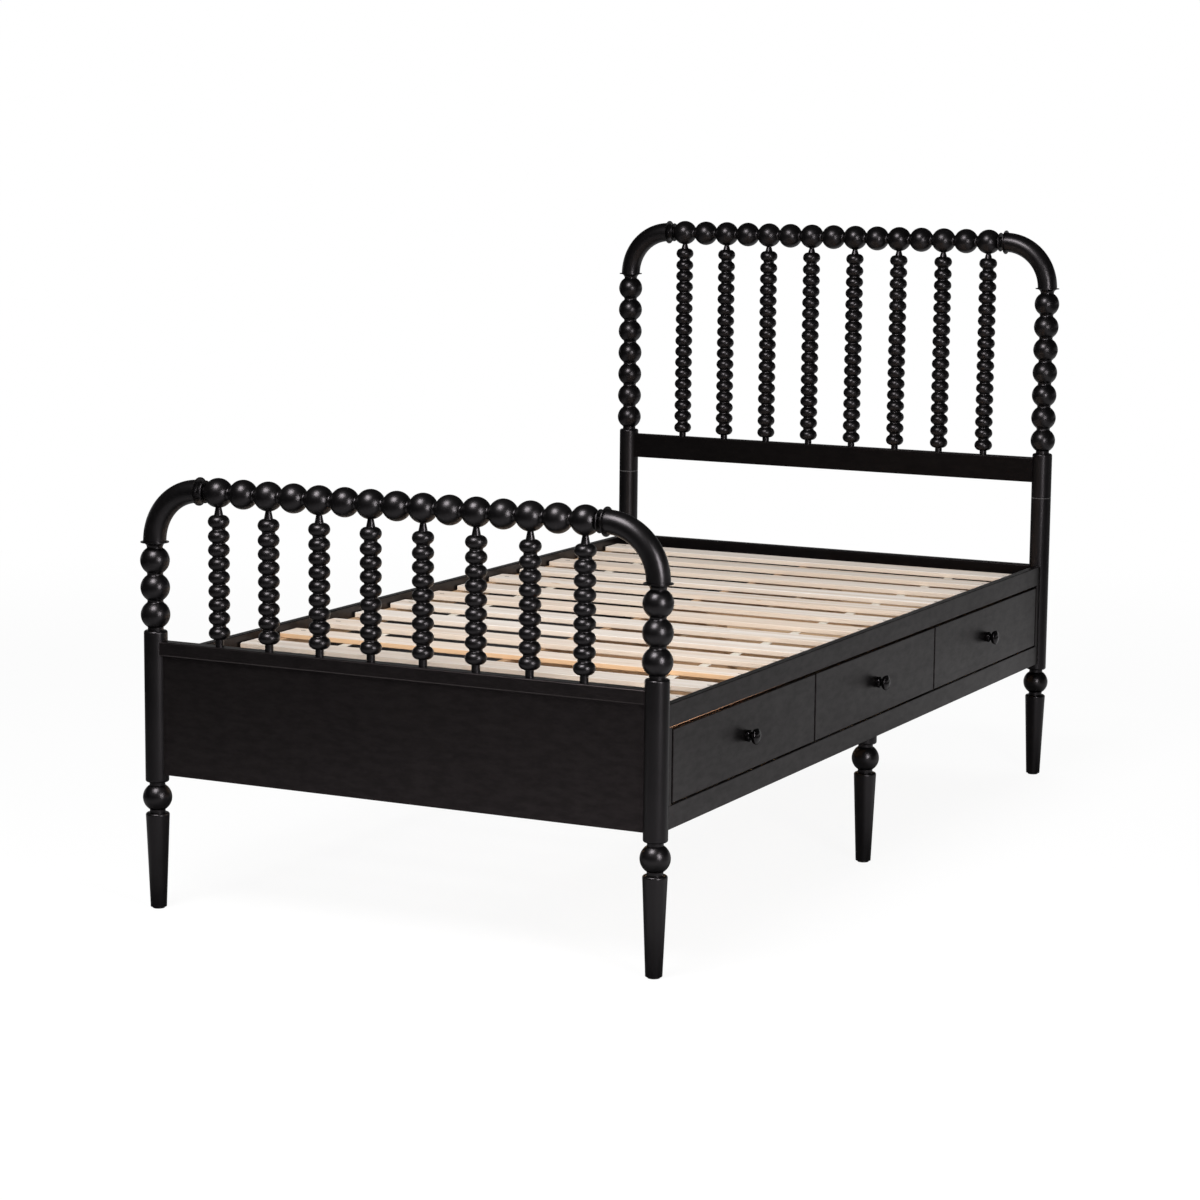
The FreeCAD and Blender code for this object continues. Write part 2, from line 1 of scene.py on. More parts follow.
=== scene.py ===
from math import pi

import bmesh
import bpy
from mathutils import Matrix, Vector


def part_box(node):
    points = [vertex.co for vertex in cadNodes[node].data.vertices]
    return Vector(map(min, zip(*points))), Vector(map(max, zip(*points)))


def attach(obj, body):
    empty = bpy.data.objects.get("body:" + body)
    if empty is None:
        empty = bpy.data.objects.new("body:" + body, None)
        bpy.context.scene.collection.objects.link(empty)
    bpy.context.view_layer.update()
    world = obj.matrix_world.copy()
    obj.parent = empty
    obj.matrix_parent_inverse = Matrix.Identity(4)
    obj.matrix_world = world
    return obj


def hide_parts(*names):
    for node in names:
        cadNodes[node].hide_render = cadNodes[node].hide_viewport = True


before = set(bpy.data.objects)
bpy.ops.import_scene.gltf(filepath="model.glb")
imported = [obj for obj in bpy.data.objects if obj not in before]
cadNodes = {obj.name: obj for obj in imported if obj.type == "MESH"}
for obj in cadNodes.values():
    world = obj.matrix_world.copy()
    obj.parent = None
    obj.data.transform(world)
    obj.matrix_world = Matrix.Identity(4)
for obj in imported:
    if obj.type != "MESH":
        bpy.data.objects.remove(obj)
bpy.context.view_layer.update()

drawerNumbers = (1, 2, 3)
print("bed loaded,", len(cadNodes), "nodes")

# Camera at the photograph's viewing angle; right, up and back are its own axes
cameraSet = {
    "lens": 98.0056,
    "sensor": 36.0,
    "clipEnd": 60.0,
    "place": (2.863052, -5.895778, 1.497543),
    "right": (0.89333523, 0.44928983, 0.00952965),
    "up": (-0.07701216, 0.13216452, 0.98823159),
    "back": (0.44274292, -0.88355599, 0.152668),
}


def setCamera():
    bpy.ops.object.camera_add(location=cameraSet["place"])
    camera = bpy.context.object
    camera.name = "bedCamera"
    camera.data.sensor_width = cameraSet["sensor"]
    camera.data.lens = cameraSet["lens"]
    camera.data.clip_end = cameraSet["clipEnd"]
    turn = Matrix((cameraSet["right"], cameraSet["up"], cameraSet["back"])).transposed()
    camera.rotation_euler = turn.to_euler()
    bpy.context.scene.camera = camera


setCamera()
bpy.context.scene.view_settings.view_transform = "Standard"
print("camera set")


# Node helpers
def joinSocket(tree, value, socket):
    if isinstance(value, bpy.types.NodeSocket):
        tree.links.new(value, socket)
    else:
        socket.default_value = value


def setInputs(tree, node, inputs):
    for name, value in inputs.items():
        joinSocket(tree, value, node.inputs[name])


def putNode(tree, kind, inputs=None, **settings):
    made = tree.nodes.new("ShaderNode" + kind)
    for name, value in settings.items():
        setattr(made, name, value)
    setInputs(tree, made, inputs or {})
    return made


def calc(tree, operation, *values):
    return putNode(tree, "Math", dict(enumerate(values)), operation=operation).outputs[0]


def times(tree, first, second):
    return calc(tree, "MULTIPLY", first, second)


def weighed(tree, first, firstShare, second, secondShare):
    return calc(tree, "ADD", times(tree, first, firstShare), times(tree, second, secondShare))


def distance(tree, offX, offY):
    return calc(tree, "SQRT", calc(tree, "ADD", times(tree, offX, offX), times(tree, offY, offY)))


def vectorCalc(tree, operation, *values):
    return putNode(tree, "VectorMath", dict(enumerate(values)), operation=operation).outputs


def remap(tree, value, fromLow, fromHigh, toLow, toHigh):
    limits = {"Value": value, "From Min": fromLow, "From Max": fromHigh, "To Min": toLow, "To Max": toHigh}
    return putNode(tree, "MapRange", limits, interpolation_type="SMOOTHSTEP").outputs["Result"]


def colour(red, green, blue):
    return (red, green, blue, 1.0)


def mixColour(tree, share, first, second):
    # the colour sockets of a Mix node are 6 and 7, its colour output is 2
    return putNode(tree, "Mix", {0: share, 6: first, 7: second}, data_type="RGBA").outputs[2]


def mixLevel(tree, share, first, second):
    return putNode(tree, "Mix", {0: share, 2: first, 3: second}).outputs[0]


def objectPlace(tree):
    return putNode(tree, "TexCoord").outputs["Object"]


def parted(tree, place):
    return putNode(tree, "SeparateXYZ", {0: place}).outputs


def noise(tree, place, scale=1.0, detail=3.0, rough=0.55, distort=0.0):
    settings = {"Vector": place, "Scale": scale, "Detail": detail, "Roughness": rough, "Distortion": distort}
    return putNode(tree, "TexNoise", settings).outputs["Fac"]


def grained(tree, place, axis, slow, fast, shift=(0, 0, 0), **settings):
    # noise that changes slowly along the grain and fast across it
    scale = tuple(slow if letter == axis else fast for letter in "xyz")
    drawn = putNode(tree, "Mapping", {"Vector": place, "Scale": scale, "Location": shift}).outputs[0]
    return noise(tree, drawn, **settings)


def bumped(tree, height, strength, depth):
    return putNode(tree, "Bump", {"Height": height, "Strength": strength, "Distance": depth}).outputs[0]


def wearAndSheenEdges(tree, edge, patches):
    # 0 on flat and smoothly turned faces, up to the edge's share along sharp edges: wear, and partly a painted
    # highlight along the edges
    soft = putNode(tree, "Bevel", {"Radius": edge["radius"]}, samples=6).outputs[0]
    plain = putNode(tree, "NewGeometry").outputs["Normal"]
    along = vectorCalc(tree, "DOT_PRODUCT", soft, plain)["Value"]
    sharp = remap(tree, along, *edge["turn"], 1, 0)
    return times(tree, times(tree, sharp, patches), edge["share"])


def newFinish(name):
    finish = bpy.data.materials.new(name)
    finish.use_nodes = True
    return finish, finish.node_tree, finish.node_tree.nodes["Principled BSDF"]


def dress(names, finish):
    for name in names:
        mesh = cadNodes[name].data
        mesh.materials.clear()
        mesh.materials.append(finish)


lineBlur = 0.0003  # soft margin of a line drawn in a finish

# Satin black lacquer on the turned work
lacquer = {
    "deep": colour(0.0011, 0.001, 0.0011),
    "pale": colour(0.0021, 0.0019, 0.002),
    # pale sharp edges: wear, and partly a painted edge highlight
    "wearAndSheen": colour(0.02, 0.017, 0.015),
    "edge": {"radius": 0.0012, "turn": (0.72, 0.97), "share": 0.6},
    "gloss": (0.3, 0.35),
    "knobGloss": (0.13, 0.18),
    "ior": 1.46,
    "sheen": colour(1.0, 0.92, 0.97),
    "bump": (0.03, 0.0003),
    # a pale line painted at a seam as a highlight
    "paintedHighlight": colour(0.085, 0.081, 0.081),
    "seamBand": 0.0015,
}


def lacquerFinish(name, axis, gloss, highlightAbove=None):
    finish, tree, shader = newFinish(name)
    place = objectPlace(tree)
    cloud = noise(tree, place, scale=14, detail=4)
    fibre = grained(tree, place, axis, 5, 130, detail=5, rough=0.6)
    speck = noise(tree, place, scale=420, detail=2)
    tint = mixColour(tree, remap(tree, cloud, 0.35, 0.7, 0, 1), lacquer["deep"], lacquer["pale"])
    # edges paled by wear and by a painted edge highlight
    edges = wearAndSheenEdges(tree, lacquer["edge"], remap(tree, fibre, 0.4, 0.65, 0, 1))
    tint = mixColour(tree, edges, tint, lacquer["wearAndSheen"])
    # painted highlight: a pale band above the given height
    if highlightAbove:
        height = parted(tree, place)["Z"]
        paintedHighlight = remap(tree, height, highlightAbove, highlightAbove + lineBlur, 0, 1)
        tint = mixColour(tree, paintedHighlight, tint, lacquer["paintedHighlight"])
    patches = weighed(tree, cloud, 0.7, speck, 0.3)
    skin = weighed(tree, fibre, 0.7, speck, 0.3)
    setInputs(tree, shader, {
        "Base Color": tint,
        "Roughness": remap(tree, patches, 0.3, 0.7, *gloss),
        "IOR": lacquer["ior"],
        "Specular Tint": lacquer["sheen"],
        "Normal": bumped(tree, skin, *lacquer["bump"]),
    })
    return finish


def dressTurnedWork():
    upright = ["mid_leg"]
    for end in ("foot", "head"):
        for side in ("left", "right"):
            upright += [end + piece + side for piece in ("_post_", "_spindles_", "_elbow_")]
    dress(upright, lacquerFinish("lacquerUpright", "z", lacquer["gloss"]))
    dress(["foot_ball_rail", "head_ball_rail"], lacquerFinish("lacquerRail", "x", lacquer["gloss"]))
    knobs = ["drawer_%d_knob" % number for number in drawerNumbers]
    dress(knobs, lacquerFinish("lacquerKnob", "x", lacquer["knobGloss"]))
    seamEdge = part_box("head_leg_left")[1].z - lacquer["seamBand"]  # a pale line is painted at the seam of the head legs as a highlight
    dress(["head_leg_left", "head_leg_right"], lacquerFinish("lacquerLeg", "z", lacquer["gloss"], seamEdge))


dressTurnedWork()
print("turned work lacquered")

# Black stained boards
boards = {
    "deep": colour(0.0018, 0.0016, 0.0016),
    "pale": colour(0.0034, 0.003, 0.0029),
    # pale sharp edges: wear, and partly a painted edge highlight
    "wearAndSheen": colour(0.03, 0.026, 0.024),
    "edge": {"radius": 0.0018, "turn": (0.75, 0.98), "share": 0.55},
    "gloss": (0.38, 0.3),
    # one stain, given a higher IOR on the foot and a lower one on the head so their reflections read brighter
    # and darker: painted light and shade
    "sideIor": 1.36,
    "footLitIor": 1.47,
    "headShadedIor": 1.22,
    "sheen": colour(1.0, 0.82, 0.86),
    "mottle": (0.4, 0.6),
    "bump": (0.1, 0.0004),
    # an orange line painted under the side top rail: stands in for the lit raw wood inside the first drawer,
    # seen through the gap
    "raw": {"tint": colour(0.78, 0.4, 0.22), "band": 0.0011, "along": "Y", "fade": (-0.9, -0.4)},
    # a pale line painted along the foot rail's lower edge as a highlight
    "paintedHighlight": {"tint": colour(0.017, 0.015, 0.015), "band": 0.0016, "along": "X", "fade": (0.0, 1.0)},
}


def boardFinish(name, axis, ior, strip=None, bottom=0.0):
    finish, tree, shader = newFinish(name)
    place = objectPlace(tree)
    grain = grained(tree, place, axis, 4, 70, detail=6, rough=0.62, distort=0.6)
    pores = grained(tree, place, axis, 60, 420, detail=2)
    mottle = grained(tree, place, axis, 28, 75, detail=4, rough=0.6)
    strokes = noise(tree, place, scale=26, detail=5, rough=0.6, distort=0.8)
    cloud = noise(tree, place, scale=5, detail=3)
    stain = calc(tree, "ADD", weighed(tree, grain, 0.35, cloud, 0.35), times(tree, strokes, 0.3))
    tint = mixColour(tree, remap(tree, stain, 0.35, 0.65, 0, 1), boards["deep"], boards["pale"])
    # edges paled by wear and by a painted edge highlight
    edges = wearAndSheenEdges(tree, boards["edge"], remap(tree, grain, 0.42, 0.62, 0.15, 1))
    tint = mixColour(tree, edges, tint, boards["wearAndSheen"])
    if strip:  # painted light along the lower edge, fading out: a highlight line, or lit wood seen through a gap
        parts = parted(tree, place)
        top = bottom + strip["band"]
        paintedStrip = remap(tree, parts["Z"], top, top + lineBlur, 1, 0)
        paintedStrip = times(tree, paintedStrip, remap(tree, parts[strip["along"]], *strip["fade"], 1, 0))
        tint = mixColour(tree, paintedStrip, tint, strip["tint"])
    setInputs(tree, shader, {
        "Base Color": tint,
        "Roughness": remap(tree, stain, 0.3, 0.7, *boards["gloss"]),
        "IOR": ior,
        "Specular Tint": boards["sheen"],
        "Specular IOR Level": remap(tree, mottle, 0.3, 0.7, *boards["mottle"]),
        "Normal": bumped(tree, weighed(tree, grain, 0.5, pores, 0.5), *boards["bump"]),
    })
    return finish


def dressBoards():
    # the foot boards get brighter reflections and the head boards darker ones: painted light and shade
    footLitIor, headShadedIor, sideIor = boards["footLitIor"], boards["headShadedIor"], boards["sideIor"]
    dress(["foot_panel"], boardFinish("boardsFoot", "x", footLitIor))
    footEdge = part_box("foot_rail")[0].z  # a highlight line is painted along its lower edge
    dress(["foot_rail"], boardFinish("boardsFootRail", "x", footLitIor, boards["paintedHighlight"], footEdge))
    dress(["head_rail", "head_panel"], boardFinish("boardsHead", "x", headShadedIor))
    drawerFronts = ["drawer_%d_front" % number for number in drawerNumbers]
    dress(["side_panel_left", "side_bottom_rail"] + drawerFronts, boardFinish("boardsAlong", "y", sideIor))
    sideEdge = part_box("side_top_rail")[0].z  # the lit raw wood inside the first drawer, seen through the gap, is painted along its lower edge
    dress(["side_top_rail"], boardFinish("boardsTopRail", "y", sideIor, boards["raw"], sideEdge))
    dress(["end_stile_foot", "end_stile_head"], boardFinish("boardsUpright", "z", sideIor))


dressBoards()
print("boards stained")

# Raw softwood: the slats, the hidden frame and the drawer boxes
softwood = {"vein": colour(0.36, 0.22, 0.13), "gloss": (0.62, 0.78), "ior": 1.35, "bump": (0.35, 0.0005)}
frameWood = {"light": colour(0.44, 0.29, 0.17), "dark": colour(0.3, 0.18, 0.1)}
drawerWood = {"light": colour(0.6, 0.44, 0.29), "dark": colour(0.44, 0.29, 0.17)}
slatWood = {
    "light": colour(0.63, 0.575, 0.525),
    "dark": colour(0.53, 0.435, 0.355),
    "pale": colour(0.71, 0.665, 0.625),
    "warm": colour(0.62, 0.48, 0.365),
    "cool": colour(0.665, 0.61, 0.56),
    "edge": colour(0.70, 0.57, 0.45),
    "edgeShare": 0.65,
    "amber": colour(0.70, 0.42, 0.21),
    "amberShare": 0.8,
    "amberSlat": 2,  # counted from the foot end, from 0
    "sawnBelow": (0.002, 0.0008),  # the sawn sides begin between these depths under the top
    "grainStep": (9, 9, 9),
}
slatRow = {"pitch": 0.1413, "width": 0.063}
slatGap = slatRow["pitch"] - slatRow["width"]
slatLow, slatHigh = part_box("slats")


def slatGrain(tree, place):
    # number of the slat, a chance value of its own and its own stretch of grain
    past = calc(tree, "SUBTRACT", parted(tree, place)["Y"], slatLow.y - slatGap / 2)
    number = calc(tree, "FLOOR", calc(tree, "DIVIDE", past, slatRow["pitch"]))
    chance = putNode(tree, "TexWhiteNoise", {"W": number}, noise_dimensions="1D").outputs
    shift = vectorCalc(tree, "MULTIPLY", chance["Color"], slatWood["grainStep"])[0]
    return number, chance["Value"], vectorCalc(tree, "ADD", place, shift)[0]


def slatTint(tree, tint, place, number, chance, ownPlace):
    tint = mixColour(tree, remap(tree, chance, 0.55, 0.95, 0, 0.4), tint, slatWood["warm"])
    tint = mixColour(tree, remap(tree, chance, 0.3, 0.0, 0, 0.5), tint, slatWood["cool"])
    streak = grained(tree, ownPlace, "x", 1.6, 120, (5, 2, 7), detail=4, rough=0.6)
    tint = mixColour(tree, remap(tree, streak, 0.52, 0.66, 0, 0.65), tint, slatWood["pale"])
    tint = mixColour(tree, remap(tree, streak, 0.44, 0.3, 0, 0.6), tint, slatWood["warm"])
    deep, shallow = slatWood["sawnBelow"]
    sawn = remap(tree, parted(tree, place)["Z"], slatHigh.z - deep, slatHigh.z - shallow, 1, 0)
    tint = mixColour(tree, times(tree, sawn, slatWood["edgeShare"]), tint, slatWood["edge"])
    amber = times(tree, calc(tree, "COMPARE", number, slatWood["amberSlat"], 0.1), sawn)
    return mixColour(tree, times(tree, amber, slatWood["amberShare"]), tint, slatWood["amber"])


def woodFinish(name, axis, wood):
    finish, tree, shader = newFinish(name)
    place = ownPlace = objectPlace(tree)
    if wood is slatWood:
        number, chance, ownPlace = slatGrain(tree, place)
    rings = grained(tree, ownPlace, axis, 1.1, 48, detail=3, rough=0.5, distort=0.5)
    fibre = grained(tree, ownPlace, axis, 9, 340, detail=4, rough=0.6)
    patch = grained(tree, ownPlace, axis, 2.2, 9, detail=2)
    vein = grained(tree, ownPlace, axis, 16, 120, (3, 1, 2), detail=2)
    tint = mixColour(tree, remap(tree, rings, 0.38, 0.66, 0, 1), wood["light"], wood["dark"])
    tint = mixColour(tree, remap(tree, patch, 0.4, 0.75, 0, 0.6), tint, wood["light"])
    tint = mixColour(tree, remap(tree, fibre, 0.45, 0.75, 0, 0.35), tint, wood["dark"])
    tint = mixColour(tree, remap(tree, vein, 0.69, 0.76, 0, 0.7), tint, softwood["vein"])
    if wood is slatWood:
        tint = slatTint(tree, tint, place, number, chance, ownPlace)
    setInputs(tree, shader, {
        "Base Color": tint,
        "Roughness": remap(tree, fibre, 0.3, 0.7, *softwood["gloss"]),
        "IOR": softwood["ior"],
        "Normal": bumped(tree, weighed(tree, rings, 0.4, fibre, 0.6), *softwood["bump"]),
    })
    return finish


def dressSoftwood():
    dress(["slats"], woodFinish("slatWood", "x", slatWood))
    dress(["slat_ledge_left", "slat_ledge_right", "centre_board"], woodFinish("frameAlong", "y", frameWood))
    dress(["drawer_dividers", "joint_dowels"], woodFinish("frameAcross", "x", frameWood))
    dress(["leg_block"], woodFinish("frameBlock", "y", frameWood))
    drawerSides = woodFinish("drawerAlong", "x", drawerWood)
    drawerBacks = woodFinish("drawerAcross", "y", drawerWood)
    for number in drawerNumbers:
        dress(["drawer_%d_sides" % number], drawerSides)
        dress(["drawer_%d_back" % number, "drawer_%d_bottom" % number], drawerBacks)


dressSoftwood()
print("softwood planed")

# Zinc-plated steel, and the dark wire of the staples
steel = {
    "zinc": (colour(0.5, 0.51, 0.52), colour(0.38, 0.39, 0.4)),
    "wire": (colour(0.09, 0.08, 0.075), colour(0.04, 0.036, 0.034)),
    "gloss": (0.28, 0.44),
    "bump": (0.12, 0.0002),
}


def steelFinish(name, bright, dull):
    finish, tree, shader = newFinish(name)
    place = objectPlace(tree)
    drawn = grained(tree, place, "x", 12, 600, detail=3)
    cloud = noise(tree, place, scale=35, detail=3)
    setInputs(tree, shader, {
        "Base Color": mixColour(tree, cloud, bright, dull),
        "Metallic": 1.0,
        "Roughness": remap(tree, drawn, 0.3, 0.7, *steel["gloss"]),
        "Normal": bumped(tree, drawn, *steel["bump"]),
    })
    return finish


# Moulded glides under the legs
glides = {
    "plain": colour(0.012, 0.012, 0.012),
    "scuffed": colour(0.035, 0.035, 0.034),
    "gloss": (0.45, 0.65),
    "bump": (0.25, 0.0002),
}


def glideFinish():
    finish, tree, shader = newFinish("mouldedGlide")
    place = objectPlace(tree)
    pebble = noise(tree, place, scale=900, detail=2)
    scuff = noise(tree, place, scale=60, detail=4)
    setInputs(tree, shader, {
        "Base Color": mixColour(tree, scuff, glides["plain"], glides["scuffed"]),
        "Roughness": remap(tree, scuff, 0.3, 0.7, *glides["gloss"]),
        "Normal": bumped(tree, pebble, *glides["bump"]),
    })
    return finish


zincSteel = steelFinish("zincSteel", *steel["zinc"])
dress(["drawer_runners", "leg_bolt", "rail_hook_plates"], zincSteel)
dress(["drawer_%d_slides" % number for number in drawerNumbers], zincSteel)
dress(["floor_glides"], glideFinish())
print("steel and glides done")

# Hand tools for the added pieces
handWork = {"smoothAngle": 0.7, "facing": 0.9, "pickReach": 0.001}


def startPiece(name):
    piece = bpy.context.object
    piece.name = name
    bpy.ops.object.transform_apply(location=True, rotation=True, scale=True)
    bpy.ops.object.mode_set(mode="EDIT")
    return piece


def cutAt(place, normal):
    bpy.ops.mesh.select_all(action="SELECT")
    bpy.ops.mesh.bisect(plane_co=place, plane_no=normal)


def pick(piece, kind, wanted):
    bpy.ops.mesh.select_mode(type=kind)
    net = bmesh.from_edit_mesh(piece.data)
    for part in net.verts if kind == "VERT" else net.faces:
        part.select = wanted(part)
    net.select_flush_mode()
    bmesh.update_edit_mesh(piece.data)


def pushOut(shift):
    bpy.ops.mesh.extrude_region_move(TRANSFORM_OT_translate={"value": shift})


def roundOff(piece, width, steps):
    bpy.ops.object.mode_set(mode="OBJECT")
    bpy.ops.object.modifier_add(type="BEVEL")
    bevel = piece.modifiers[-1]
    bevel.width = width
    bevel.segments = steps
    bpy.ops.object.modifier_apply(modifier=bevel.name)
    bpy.ops.object.shade_smooth_by_angle(angle=handWork["smoothAngle"])


def copyPiece(piece, name, shift):
    bpy.ops.object.select_all(action="DESELECT")
    piece.select_set(True)
    bpy.context.view_layer.objects.active = piece
    bpy.ops.object.duplicate()
    bpy.context.object.name = name
    bpy.ops.transform.translate(value=shift)
    bpy.ops.object.transform_apply(location=True, rotation=False, scale=False)
    return bpy.context.object


def settle(piece, body):
    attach(piece, body)


# Webbing straps under the slats, a little slack between one slat and the next
webbing = {
    "sag": 0.0015,
    "sagShape": ((0.25, 0.75), (0.5, 1.0), (0.75, 0.75)),  # place in the gap, share of the sag
    "round": 0.0003,
    "roundSteps": 2,
    "thread": 0.0015,
    "light": colour(0.62, 0.58, 0.51),
    "dark": colour(0.40, 0.36, 0.30),
    "rough": 0.85,
    "bump": (0.5, 0.0003),
}
slatCount = round((slatHigh.y - slatLow.y - slatRow["width"]) / slatRow["pitch"]) + 1
slatStarts = [slatLow.y + number * slatRow["pitch"] for number in range(slatCount)]


def webbingFinish():
    finish, tree, shader = newFinish("creamWebbing")
    place = objectPlace(tree)
    parts = parted(tree, place)
    turns = 2 * pi / webbing["thread"]
    across = calc(tree, "SINE", times(tree, parts["X"], turns))
    along = calc(tree, "SINE", times(tree, parts["Y"], turns))
    weave = calc(tree, "MULTIPLY_ADD", times(tree, across, along), 0.5, 0.5)
    fuzz = noise(tree, place, scale=900, detail=2)
    share = weighed(tree, weave, 0.7, fuzz, 0.5)
    setInputs(tree, shader, {
        "Base Color": mixColour(tree, remap(tree, share, 0, 0.8, 0, 1), webbing["dark"], webbing["light"]),
        "Roughness": webbing["rough"],
        "Normal": bumped(tree, share, *webbing["bump"]),
    })
    return finish


def makeStrap(name, node):
    low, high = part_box(node)
    bpy.ops.object.select_all(action="DESELECT")
    bpy.ops.mesh.primitive_cube_add(size=1, location=(low + high) / 2, scale=high - low)
    strap = startPiece(name)
    gapStarts = [start + slatRow["width"] for start in slatStarts[:-1]]
    for start in gapStarts:
        for share in (0, 0.25, 0.5, 0.75, 1):
            cutAt((0, start + slatGap * share, 0), (0, 1, 0))
    for share, drop in webbing["sagShape"]:
        rows = [start + slatGap * share for start in gapStarts]
        pick(strap, "VERT", lambda point: min(abs(point.co.y - row) for row in rows) < handWork["pickReach"])
        bpy.ops.transform.translate(value=(0, 0, -webbing["sag"] * drop))
    roundOff(strap, webbing["round"], webbing["roundSteps"])
    return strap


strapLeft = makeStrap("webbingLeft", "slat_strap_left")
strapLeft.data.materials.append(webbingFinish())
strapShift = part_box("slat_strap_right")[0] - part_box("slat_strap_left")[0]
strapRight = copyPiece(strapLeft, "webbingRight", strapShift)
for strap, node in ((strapLeft, "slat_strap_left"), (strapRight, "slat_strap_right")):
    settle(strap, "bed_frame")
    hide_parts(node)
print("straps laid")

# Staples near the slat ends, each a bent wire driven in from the top
staples = {
    "crown": 0.011,
    "wire": 0.0011,
    "leg": 0.005,
    "roundShare": 0.3,
    "roundSteps": 2,
    "fromEnd": 0.028,
    "wander": (0.004, -0.007, 0.009, -0.002, -0.01),  # off the middle of the slat, slat by slat
    "rightStart": 2,  # the right row starts further on in the wander
}


def makeStaple(place):
    wire = staples["wire"]
    inside = staples["crown"] / 2 - wire

    def isLegEnd(face):
        return face.normal.z < -handWork["facing"] and abs(face.calc_center_median().x - place.x) > inside

    bpy.ops.object.select_all(action="DESELECT")
    bpy.ops.mesh.primitive_cube_add(size=1, location=place, scale=(staples["crown"], wire, wire))
    staple = startPiece("staple")
    for side in (-1, 1):
        cutAt((place.x + side * inside, 0, 0), (1, 0, 0))
    pick(staple, "FACE", isLegEnd)
    pushOut((0, 0, -staples["leg"]))
    roundOff(staple, wire * staples["roundShare"], staples["roundSteps"])
    return staple


def staplePlace(number, side):
    end, start = (slatHigh.x, staples["rightStart"]) if side > 0 else (slatLow.x, 0)
    step = staples["wander"][(number + start) % len(staples["wander"])]
    middle = slatStarts[number] + slatRow["width"] / 2
    return Vector((end - side * staples["fromEnd"], middle + step, slatHigh.z))


firstPlace = staplePlace(0, -1)
firstStaple = makeStaple(firstPlace)
firstStaple.data.materials.append(steelFinish("darkWire", *steel["wire"]))
for number in range(slatCount):
    for side, word in ((-1, "Left"), (1, "Right")):
        shift = staplePlace(number, side) - firstPlace
        staple = copyPiece(firstStaple, "staple%s%02d" % (word, number + 1), shift)
        settle(staple, "bed_frame")
bpy.data.objects.remove(firstStaple)
print("staples driven")

# Screws that hold the knobs, seen inside the drawers
screws = {
    "radius": 0.0046,
    "sides": 24,
    "rise": 0.0022,
    "drive": 0.0024,
    "recess": 0.0011,
    "round": 0.0007,
    "roundSteps": 3,
}


def makeScrew(place):
    bpy.ops.object.select_all(action="DESELECT")
    bpy.ops.mesh.primitive_cylinder_add(
        vertices=screws["sides"],
        radius=screws["radius"],
        depth=screws["rise"],
        location=place - Vector((screws["rise"] / 2, 0, 0)),
        rotation=(0, pi / 2, 0),
    )
    screw = startPiece("knobScrew1")
    pick(screw, "FACE", lambda face: face.normal.x < -handWork["facing"])
    bpy.ops.mesh.inset(thickness=screws["radius"] - screws["drive"])
    pushOut((screws["recess"], 0, 0))
    roundOff(screw, screws["round"], screws["roundSteps"])
    return screw


def screwPlace(number):
    middle = sum(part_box("drawer_%d_knob" % number), Vector()) / 2
    return Vector((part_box("drawer_%d_front" % number)[0].x, middle.y, middle.z))


knobScrew = makeScrew(screwPlace(1))
knobScrew.data.materials.append(zincSteel)
settle(knobScrew, "drawer_1")
for number in drawerNumbers[1:]:
    screw = copyPiece(knobScrew, "knobScrew%d" % number, screwPlace(number) - screwPlace(1))
    settle(screw, "drawer_%d" % number)
print("knob screws in")

# Studio: white to the eye, with the dim room and the lit paper that the black finish mirrors
studio = {
    "floorSize": 60.0,
    "floorTone": 0.86,
    "shadowShare": 0.08,
    "shadowReach": (2.0, 4.5),
    "fill": 0.15,
    "room": 0.025,
    "horizon": 0.7,
    "horizonTop": 0.22,
    "horizonSide": (-0.2, 0.5),  # the band is lit behind the bed only
    "paperCorner": (0.9, -0.9),
    "paperReach": (0.5, 3.5),
    "paperLevels": (0.6, 0.03),
    "paperEdge": (1.5, 2.2),
    "pastEdge": 0.2,
    "underBed": (0.55, 1.0),
    "underReach": 0.4,
    "underLevel": 0.15,
    "dips": [(-1.0, 1.0), (0.3, 1.04), (1.3, 0.71), (2.1, 1.1), (2.9, 0.69), (3.6, 1.2), (5.0, 0.5)],
}
white = colour(1, 1, 1)


def seenStraight(tree, path):
    return calc(tree, "MAXIMUM", path["Is Camera Ray"], path["Is Transmission Ray"])


def setWorld():
    world = bpy.data.worlds.new("studioWorld")
    bpy.context.scene.world = world
    world.use_nodes = True
    tree = world.node_tree
    tree.nodes.clear()
    path = putNode(tree, "LightPath").outputs
    heading = parted(tree, putNode(tree, "TexCoord").outputs["Generated"])
    band = remap(tree, heading["Z"], 0, studio["horizonTop"], studio["horizon"], 0)
    band = times(tree, band, remap(tree, heading["Y"], *studio["horizonSide"], 0, 1))
    room = calc(tree, "ADD", band, studio["room"])
    level = mixLevel(tree, path["Is Glossy Ray"], studio["fill"], room)
    level = mixLevel(tree, seenStraight(tree, path), level, 1.0)
    back = putNode(tree, "Background", {"Color": white, "Strength": level})
    putNode(tree, "OutputWorld", {"Surface": back.outputs[0]})


def dipRamp(tree, along):
    # light and dark stretches of the paper along the bed
    start = studio["dips"][0][0]
    span = studio["dips"][-1][0] - start
    share = calc(tree, "DIVIDE", calc(tree, "SUBTRACT", along, start), span)
    ramp = putNode(tree, "ValToRGB", {"Fac": share})
    stops = ramp.color_ramp.elements
    while len(stops) < len(studio["dips"]):
        stops.new(0.5)
    for stop, (where, dip) in zip(stops, studio["dips"]):
        stop.position = (where - start) / span
        stop.color = colour(dip, dip, dip)
    return ramp.outputs["Color"]


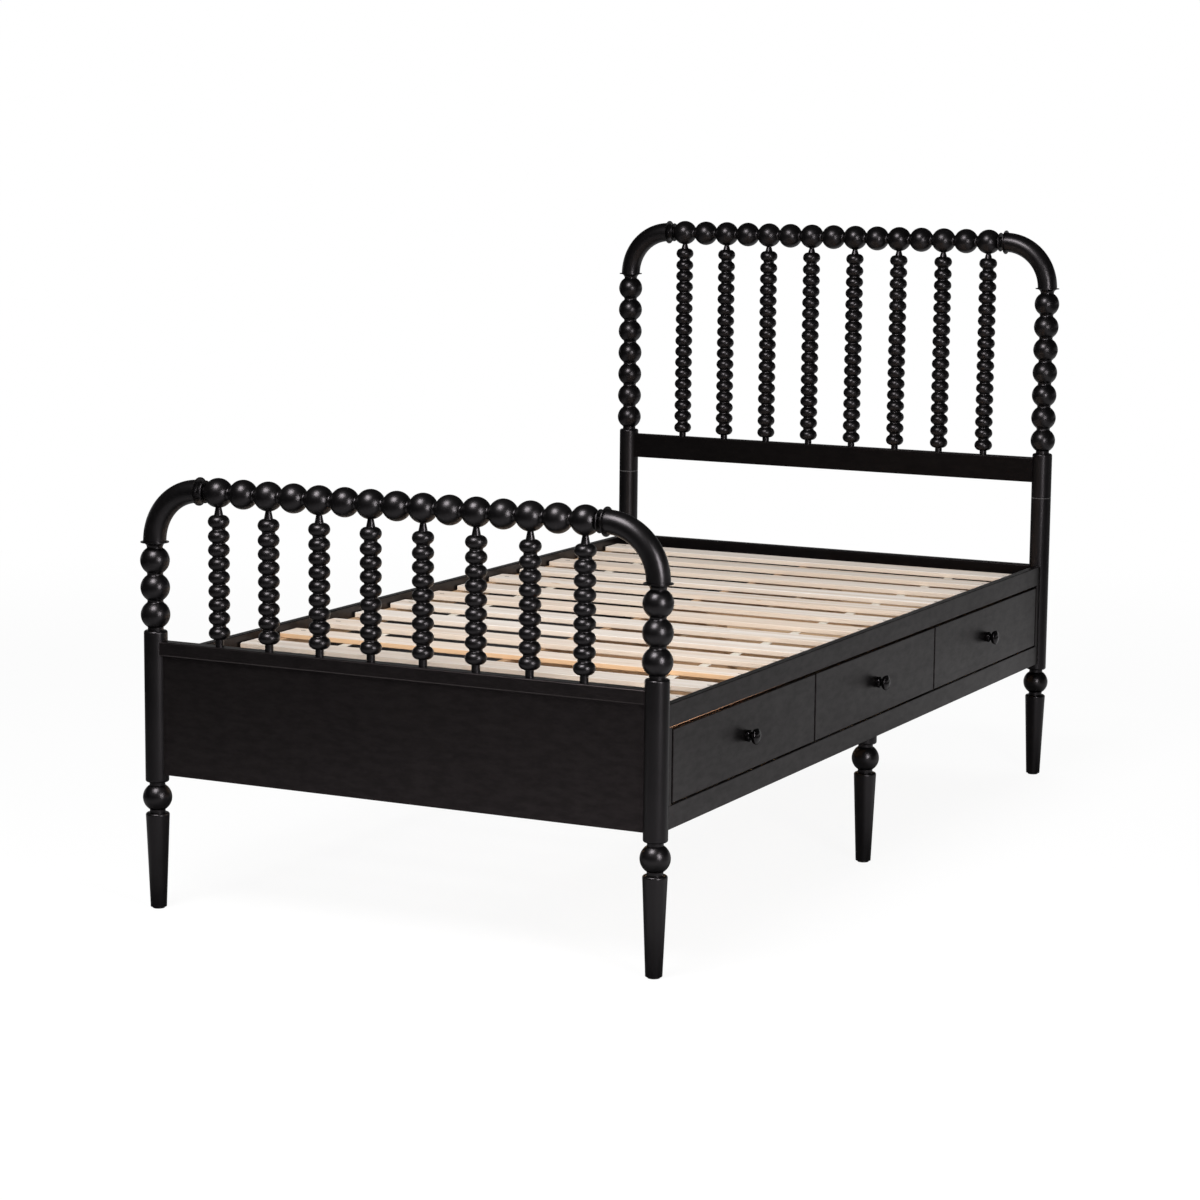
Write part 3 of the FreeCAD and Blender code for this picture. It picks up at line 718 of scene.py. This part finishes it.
def paperGlow(tree, place):
    parts = parted(tree, place)
    sides = list(zip((parts["X"], parts["Y"]), studio["paperCorner"], studio["underBed"]))
    short = [calc(tree, "MINIMUM", calc(tree, "SUBTRACT", part, corner), 0) for part, corner, half in sides]
    level = remap(tree, distance(tree, *short), *studio["paperReach"], *studio["paperLevels"])
    level = times(tree, level, dipRamp(tree, parts["Y"]))
    past = [calc(tree, "SUBTRACT", calc(tree, "ABSOLUTE", part), half) for part, corner, half in sides]
    past = [calc(tree, "MAXIMUM", off, 0) for off in past]
    shade = remap(tree, distance(tree, *past), 0, studio["underReach"], studio["underLevel"], 1)
    shade = times(tree, shade, remap(tree, parts["X"], *studio["paperEdge"], 1, studio["pastEdge"]))
    return times(tree, level, shade)


def mixLook(tree, share, first, second):
    return putNode(tree, "MixShader", {0: share, 1: first, 2: second}).outputs[0]


def floorFinish():
    finish, tree, shader = newFinish("paleFloor")
    tree.nodes.remove(shader)
    path = putNode(tree, "LightPath").outputs
    place = objectPlace(tree)
    far = vectorCalc(tree, "LENGTH", place)["Value"]
    share = remap(tree, far, *studio["shadowReach"], studio["shadowShare"], 0)
    paper = putNode(tree, "BsdfDiffuse", {"Color": colour(*[studio["floorTone"]] * 3)}).outputs[0]
    bright = putNode(tree, "Emission", {"Color": white, "Strength": 1.0}).outputs[0]
    glow = putNode(tree, "Emission", {"Color": white, "Strength": paperGlow(tree, place)}).outputs[0]
    shadowed = mixLook(tree, share, bright, paper)
    look = mixLook(tree, path["Is Glossy Ray"], paper, glow)
    look = mixLook(tree, seenStraight(tree, path), look, shadowed)
    joinSocket(tree, look, tree.nodes["Material Output"].inputs["Surface"])
    return finish


def setFloor():
    bpy.ops.object.select_all(action="DESELECT")
    bpy.ops.mesh.primitive_plane_add(size=studio["floorSize"])
    floor = bpy.context.object
    floor.name = "studioFloor"
    floor.data.materials.append(floorFinish())


lamps = {
    "boomLeft": {
        "place": (-0.2, -3.1, 3.9),
        "aim": (0, -0.4, 0.5),
        "size": (1.8, 1.8),
        "power": 190,
        "mirrored": True,
    },
    "standRight": {
        "place": (2.6, -2.2, 1.3),
        "aim": (0.3, -0.5, 0.8),
        "size": (0.7, 1.4),
        "power": 60,
        "mirrored": True,
    },
    "ceiling": {
        "place": (0.2, 2.2, 3.6),
        "aim": (0, 0.8, 0.3),
        "size": (3, 3),
        "power": 72,
        "mirrored": False,
    },
    "front": {
        "place": (1.2, -4.8, 2.4),
        "aim": (0, 0, 0.5),
        "size": (2.5, 2.5),
        "power": 40,
        "mirrored": False,
    },
}


def setLamps():
    for name, lamp in lamps.items():
        bpy.ops.object.light_add(type="AREA", location=lamp["place"])
        light = bpy.context.object
        light.name = name
        back = Vector(lamp["place"]) - Vector(lamp["aim"])
        light.rotation_euler = back.to_track_quat("Z", "Y").to_euler()
        light.data.shape = "RECTANGLE"
        light.data.size, light.data.size_y = lamp["size"]
        light.data.energy = lamp["power"]
        light.visible_camera = False
        light.visible_glossy = lamp["mirrored"]


setWorld()
setFloor()
setLamps()
print("studio lit")
